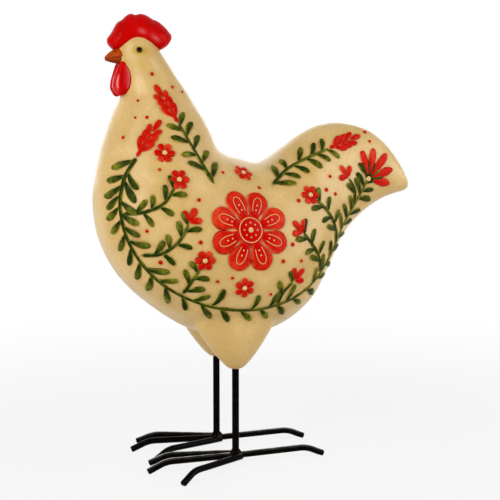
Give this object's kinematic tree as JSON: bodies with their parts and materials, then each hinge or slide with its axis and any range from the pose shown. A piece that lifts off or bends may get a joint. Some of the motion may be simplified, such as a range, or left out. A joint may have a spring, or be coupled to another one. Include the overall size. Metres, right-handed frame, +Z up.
{
  "type": "hen figurine",
  "caption": "Standing hen ornament: hollow cast body with painted floral relief, red comb and wattles, on bent steel wire legs and feet.",
  "frame": {"origin": "on the ground, under the middle of the hen's bounding box", "axes": "+Z up, the hen faces -X, its left side is towards -Y"},
  "size_m": [0.2396, 0.1204, 0.3168],
  "materials": {
    "painted_resin": "cast resin, cream paint with a tan wash and a satin varnish",
    "comb_red": "cast resin, glossy red paint",
    "beak_orange": "cast resin, satin orange-brown paint",
    "eye_black": "glossy black bead",
    "leg_black": "steel wire, satin black-brown paint"
  },
  "bodies": {
    "root": {"body_casting": "painted_resin", "pour_hole_plug": "painted_resin", "comb": "comb_red", "left_wattle": "comb_red", "right_wattle": "comb_red", "beak": "beak_orange", "left_eye": "eye_black", "right_eye": "eye_black", "left_leg_rod": "leg_black", "left_outer_toe": "leg_black", "left_middle_toe": "leg_black", "left_inner_toe": "leg_black", "left_back_toe": "leg_black", "left_foot_weld": "leg_black", "right_leg_rod": "leg_black", "right_outer_toe": "leg_black", "right_middle_toe": "leg_black", "right_inner_toe": "leg_black", "right_back_toe": "leg_black", "right_foot_weld": "leg_black"}
  },
  "joints": []
}
